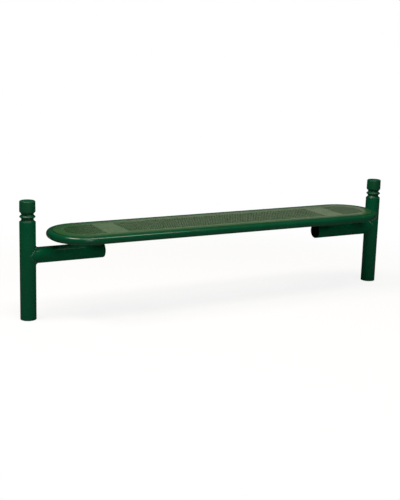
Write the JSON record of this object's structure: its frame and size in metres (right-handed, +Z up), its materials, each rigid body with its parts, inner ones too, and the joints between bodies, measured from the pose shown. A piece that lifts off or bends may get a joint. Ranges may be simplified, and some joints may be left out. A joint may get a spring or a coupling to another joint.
{
  "type": "backless bench",
  "caption": "Backless park bench: a long stadium-shaped metal seat on two round arms, each welded to a round post with a turned finial.",
  "frame": {"origin": "on the ground, below the middle of the seat", "axes": "+X along the bench to the right post, +Y to the side of the posts, +Z up"},
  "size_m": [2.0574, 0.364, 0.568],
  "materials": {
    "powder_coat": "glossy dark green powder coat on steel tube and plate",
    "panel_coat": "satin-gloss green powder coat on perforated steel sheet",
    "finial_coat": "glossy dark green powder coat on a turned casting",
    "steel_fixings": "bare stainless fixings, machined",
    "black_plastic": "moulded black plastic end plug"
  },
  "bodies": {
    "root": {"left_post": "powder_coat", "left_finial": "finial_coat", "left_finial_screw": "steel_fixings", "left_arm": "powder_coat", "left_arm_plug": "black_plastic", "left_support_stub": "powder_coat", "left_mount_plate": "powder_coat", "left_bolt_1": "steel_fixings", "left_washer_1": "steel_fixings", "left_weld_nut_1": "steel_fixings", "left_bolt_2": "steel_fixings", "left_washer_2": "steel_fixings", "left_weld_nut_2": "steel_fixings", "left_bolt_3": "steel_fixings", "left_washer_3": "steel_fixings", "left_weld_nut_3": "steel_fixings", "left_bolt_4": "steel_fixings", "left_washer_4": "steel_fixings", "left_weld_nut_4": "steel_fixings", "left_cross_channel": "powder_coat", "rim_left_front_bend": "powder_coat", "rim_left_back_bend": "powder_coat", "right_post": "powder_coat", "right_finial": "finial_coat", "right_finial_screw": "steel_fixings", "right_arm": "powder_coat", "right_arm_plug": "black_plastic", "right_support_stub": "powder_coat", "right_mount_plate": "powder_coat", "right_bolt_1": "steel_fixings", "right_washer_1": "steel_fixings", "right_weld_nut_1": "steel_fixings", "right_bolt_2": "steel_fixings", "right_washer_2": "steel_fixings", "right_weld_nut_2": "steel_fixings", "right_bolt_3": "steel_fixings", "right_washer_3": "steel_fixings", "right_weld_nut_3": "steel_fixings", "right_bolt_4": "steel_fixings", "right_washer_4": "steel_fixings", "right_weld_nut_4": "steel_fixings", "right_cross_channel": "powder_coat", "rim_right_front_bend": "powder_coat", "rim_right_back_bend": "powder_coat", "rim_front_rail": "powder_coat", "rim_back_rail": "powder_coat", "centre_stiffener": "powder_coat", "seat_panel": "panel_coat"}
  },
  "joints": []
}
